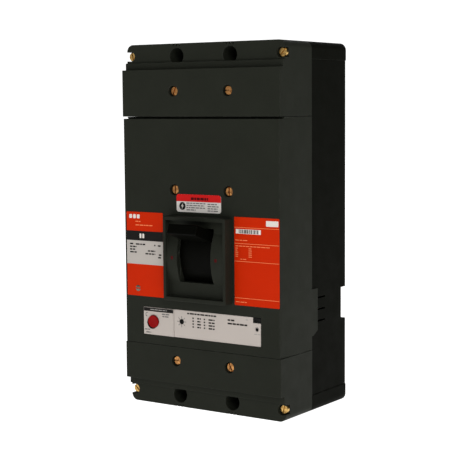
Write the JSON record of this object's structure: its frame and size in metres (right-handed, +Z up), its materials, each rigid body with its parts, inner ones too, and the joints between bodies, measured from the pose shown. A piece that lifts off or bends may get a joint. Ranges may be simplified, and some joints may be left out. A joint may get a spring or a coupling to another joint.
{
  "type": "molded case circuit breaker",
  "caption": "Three-pole molded case circuit breaker with a toggle handle, stepped terminal covers, front nameplates and a push-to-trip button.",
  "frame": {"origin": "centre of the flat rear mounting face", "axes": "+X to the right and +Z up as seen from the front, +Y out of the rear mounting face; the handle faces -Y"},
  "size_m": [0.2096, 0.1735, 0.4064],
  "materials": {
    "cover_plastic": "fine grained molded thermoset, charcoal",
    "base_plastic": "fine grained molded thermoset, near black",
    "handle_plastic": "smooth molded plastic, black",
    "black_plastic": "smooth molded plastic, black",
    "module_plastic": "molded plastic, dark grey",
    "red_plastic": "smooth molded plastic, deep red",
    "orange_label": "printed film label, orange",
    "white_label": "printed face, off white",
    "notice_label": "printed film label, white with a red band",
    "brass": "turned brass",
    "copper_brass": "coppery plated brass",
    "zinc_steel": "zinc plated steel",
    "steel": "plain sheet steel",
    "spring_steel": "drawn spring wire",
    "copper": "bare copper",
    "silver_contact": "silver alloy contact",
    "arc_fibre": "vulcanised fibre and steel plates"
  },
  "bodies": {
    "case": {"base_housing": "base_plastic", "line_terminal_cover": "cover_plastic", "main_cover": "cover_plastic", "load_terminal_cover": "cover_plastic", "handle_escutcheon": "cover_plastic", "handle_pivot_stud_left": "steel", "handle_pivot_stud_right": "steel", "mechanism_frame_left": "steel", "mechanism_frame_right": "steel", "cradle": "steel", "trip_actuator": "steel", "trip_unit_housing": "module_plastic", "trip_unit_faceplate": "white_label", "rating_plug": "white_label", "button_spring": "spring_steel", "test_port_cap": "black_plastic", "status_lens": "black_plastic", "left_nameplate": "orange_label", "right_nameplate": "orange_label", "notice_plate": "notice_label", "nameplate_screw": "zinc_steel", "line_terminal_a": "copper", "fixed_contact_a": "silver_contact", "load_terminal_a": "copper", "arc_chute_a": "arc_fibre", "current_transformer_a": "module_plastic", "line_terminal_b": "copper", "fixed_contact_b": "silver_contact", "load_terminal_b": "copper", "arc_chute_b": "arc_fibre", "current_transformer_b": "module_plastic", "line_terminal_c": "copper", "fixed_contact_c": "silver_contact", "load_terminal_c": "copper", "arc_chute_c": "arc_fibre", "current_transformer_c": "module_plastic", "line_cover_screw_left": "copper_brass", "line_cover_screw_right": "copper_brass", "main_cover_screw_left": "copper_brass", "main_cover_screw_right": "copper_brass", "load_cover_screw_left": "copper_brass", "load_cover_screw_right": "copper_brass", "corner_screw_lower_left": "brass", "corner_screw_upper_left": "brass", "corner_screw_lower_right": "brass", "corner_screw_upper_right": "brass"},
    "handle": {"toggle_handle": "handle_plastic", "handle_yoke": "steel", "main_spring_left": "spring_steel", "main_spring_right": "spring_steel"},
    "crossbar": {"crossbar": "module_plastic", "contact_arm_a": "copper", "contact_arm_b": "copper", "contact_arm_c": "copper"},
    "upper_link": {"upper_toggle_link": "steel"},
    "lower_link": {"lower_toggle_link": "steel"},
    "button": {"push_to_trip_button": "red_plastic"},
    "trip_bar": {"trip_bar": "module_plastic"},
    "dial": {"setting_dial": "black_plastic"}
  },
  "joints": [
    {"name": "handle_swing", "type": "hinge", "parent": "case", "child": "handle", "pos_m": [0, -0.0857, -0.027], "axis": [1, 0, 0], "range_deg": [0, 37]},
    {"name": "crossbar_swing", "type": "hinge", "parent": "case", "child": "crossbar", "pos_m": [0, -0.042, -0.062], "axis": [1, 0, 0], "range_deg": [0, 25.2]},
    {"name": "upper_link_swing", "type": "hinge", "parent": "case", "child": "upper_link", "pos_m": [0, -0.1, -0.002], "axis": [1, 0, 0], "range_deg": [-40.6, 0]},
    {"name": "lower_link_swing", "type": "hinge", "parent": "crossbar", "child": "lower_link", "pos_m": [0, -0.056, -0.024], "axis": [1, 0, 0], "range_deg": [-28.2, 0]},
    {"name": "button_press", "type": "slide", "parent": "case", "child": "button", "axis": [0, 1, 0], "range_m": [0, 0.0016], "stiffness_N_per_m": 400, "springref_m": -0.002, "deforming": ["button_spring"]},
    {"name": "trip_bar_turn", "type": "hinge", "parent": "case", "child": "trip_bar", "pos_m": [0, -0.07, -0.084], "axis": [1, 0, 0], "range_deg": [0, 4.3]},
    {"name": "dial_turn", "type": "hinge", "parent": "case", "child": "dial", "pos_m": [-0.0255, -0.1387, -0.104], "axis": [0, -1, 0], "range_deg": [-157.5, 157.5]}
  ],
  "couplings": [
    {"joint": "crossbar_swing", "follows": "handle_swing", "ratio": 0.6757},
    {"joint": "upper_link_swing", "follows": "handle_swing", "ratio": -1.0887},
    {"joint": "lower_link_swing", "follows": "handle_swing", "ratio": -0.756},
    {"joint": "trip_bar_turn", "follows": "button_press", "rad_per_m": 44.25}
  ]
}
